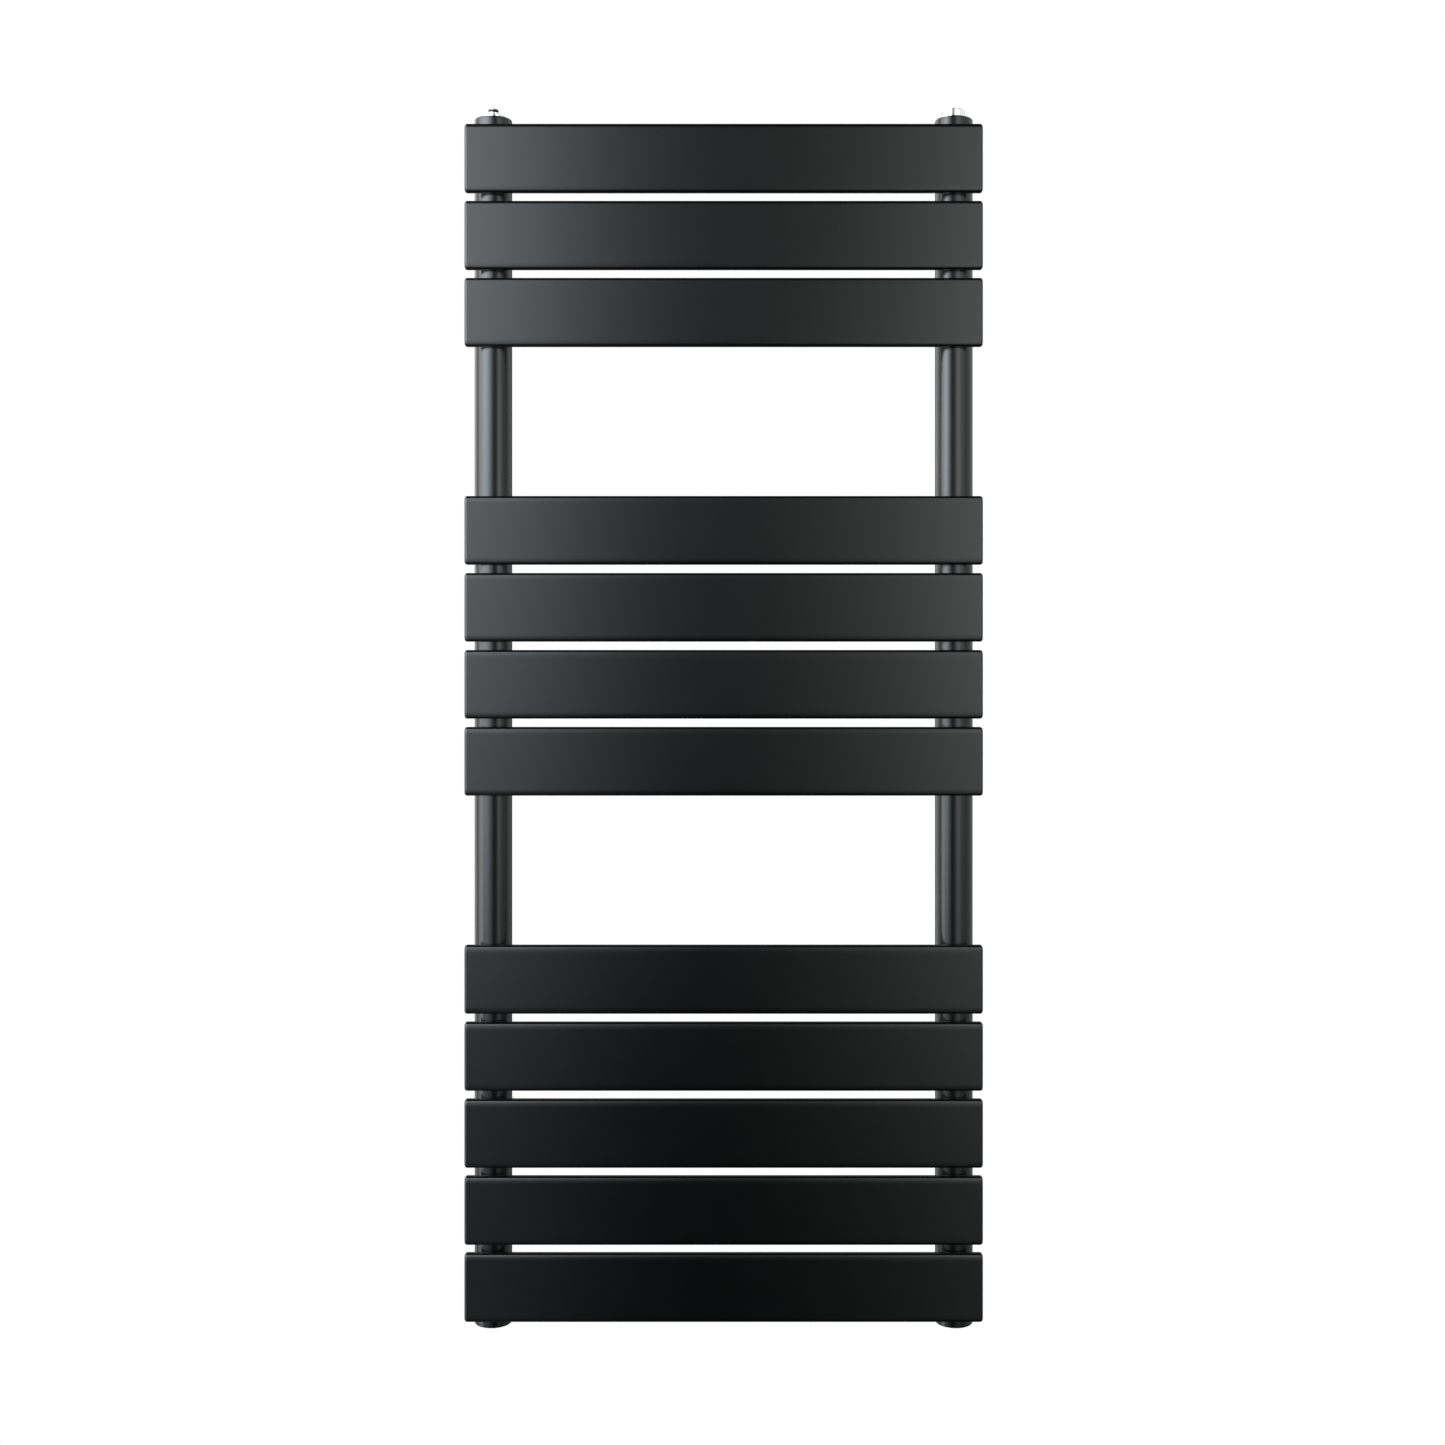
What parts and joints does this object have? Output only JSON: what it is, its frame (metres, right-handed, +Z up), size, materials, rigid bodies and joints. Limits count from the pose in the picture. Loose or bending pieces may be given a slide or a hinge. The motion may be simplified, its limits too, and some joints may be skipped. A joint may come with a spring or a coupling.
{
  "type": "towel warmer rack",
  "caption": "Wall-hung flat-panel hydronic towel warmer rack: grouped flat steel bars on two round collectors, with air vent, blanking plug and telescopic wall brackets.",
  "frame": {"origin": "on the wall plane, at the middle of the four wall brackets", "axes": "+Z up, +X to the right seen from the front, -Y out of the wall towards the room"},
  "size_m": [0.5, 0.0945, 1.1854],
  "materials": {
    "powder_coat": "satin black powder coat on steel",
    "chrome": "bright chrome plate on brass",
    "black_plastic": "fine matte moulding",
    "zinc_steel": "zinc plated, turned",
    "seal_rubber": "plain black"
  },
  "bodies": {
    "wall_brackets": {"wall_sleeve_upper_left": "chrome", "wall_sleeve_upper_right": "chrome", "wall_sleeve_lower_left": "chrome", "wall_sleeve_lower_right": "chrome", "rosette_upper_left": "chrome", "rosette_upper_right": "chrome", "rosette_lower_left": "chrome", "rosette_lower_right": "chrome", "grub_screw_upper_left": "zinc_steel", "grub_screw_upper_right": "zinc_steel", "grub_screw_lower_left": "zinc_steel", "grub_screw_lower_right": "zinc_steel"},
    "rail": {"panel_01": "powder_coat", "panel_02": "powder_coat", "panel_03": "powder_coat", "panel_04": "powder_coat", "panel_05": "powder_coat", "panel_06": "powder_coat", "panel_07": "powder_coat", "panel_08": "powder_coat", "panel_09": "powder_coat", "panel_10": "powder_coat", "panel_11": "powder_coat", "panel_12": "powder_coat", "collector_left": "powder_coat", "top_port_left": "powder_coat", "bottom_port_left": "powder_coat", "collector_right": "powder_coat", "top_port_right": "powder_coat", "bottom_port_right": "powder_coat", "blanking_plug": "chrome", "air_vent_body": "chrome", "plug_sealing_ring": "seal_rubber", "vent_sealing_ring": "seal_rubber", "bracket_boss_upper_left": "powder_coat", "spindle_upper_left": "zinc_steel", "bracket_boss_upper_right": "powder_coat", "spindle_upper_right": "zinc_steel", "bracket_boss_lower_left": "powder_coat", "spindle_lower_left": "zinc_steel", "bracket_boss_lower_right": "powder_coat", "spindle_lower_right": "zinc_steel"},
    "vent_spout": {"air_vent_spout": "black_plastic"},
    "bleed_pin": {"air_vent_pin": "chrome"}
  },
  "joints": [
    {"name": "wall_distance", "type": "slide", "parent": "wall_brackets", "child": "rail", "axis": [0, -1, 0], "range_m": [-0.008, 0.006]},
    {"name": "spout_turn", "type": "hinge", "parent": "rail", "child": "vent_spout", "pos_m": [-0.225, -0.068, 0.55075], "axis": [0, 0, 1], "continuous": true},
    {"name": "bleed_turn", "type": "hinge", "parent": "rail", "child": "bleed_pin", "pos_m": [-0.225, -0.068, 0.55075], "axis": [0, 0, 1], "range_deg": [0, 360]}
  ]
}
